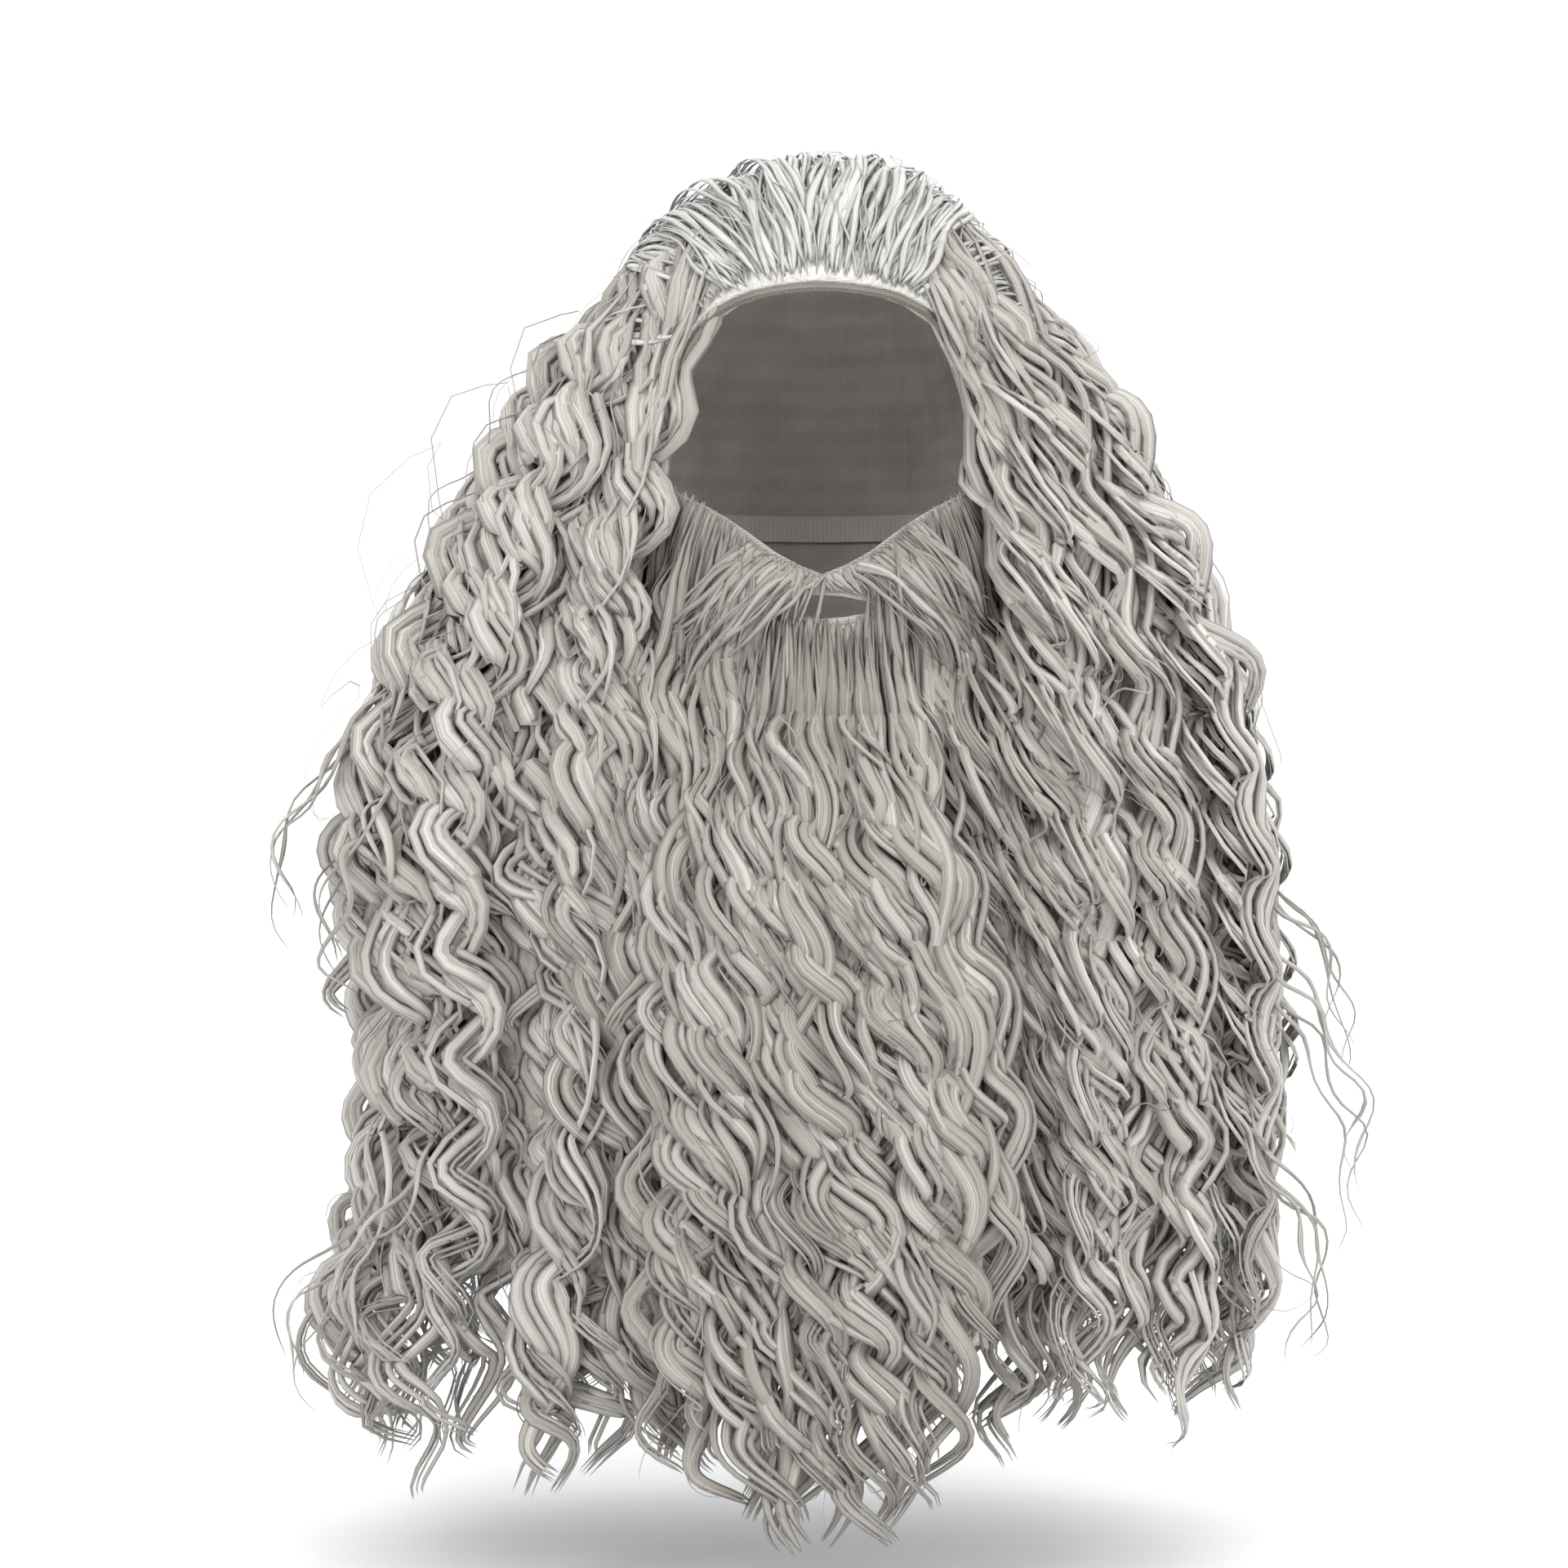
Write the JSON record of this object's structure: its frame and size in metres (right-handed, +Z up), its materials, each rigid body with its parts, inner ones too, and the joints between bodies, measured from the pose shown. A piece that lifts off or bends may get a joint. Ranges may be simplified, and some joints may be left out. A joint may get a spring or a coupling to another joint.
{
  "type": "wig and beard set",
  "caption": "Long wavy grey wig on a sewn cap with a full beard on a cloth backing with a mouth slit, hanging as a head holds them.",
  "frame": {"origin": "the inside of the cap at the crown, where the top of a head carries the wig", "axes": "+Z up, the face opening looks towards -Y, +X is to the right of someone who looks at the face"},
  "size_m": [0.4778, 0.2997, 0.5933],
  "materials": {
    "cap_cloth": "plain knitted cloth",
    "binding_cloth": "sewn cloth edge",
    "light_hair": "satin synthetic fibre",
    "silver_hair": "satin synthetic fibre",
    "beard_fibre": "satin synthetic fibre",
    "elastic": "woven elastic"
  },
  "bodies": {
    "root": {"wig_cap": "cap_cloth", "front_binding": "binding_cloth", "crown_hair": "light_hair", "left_hair": "silver_hair", "right_hair": "silver_hair", "back_hair": "silver_hair", "beard_backing": "cap_cloth", "moustache_hair": "beard_fibre", "left_cheek_hair": "beard_fibre", "right_cheek_hair": "beard_fibre", "chin_hair": "beard_fibre", "beard_strap": "elastic"}
  },
  "joints": []
}
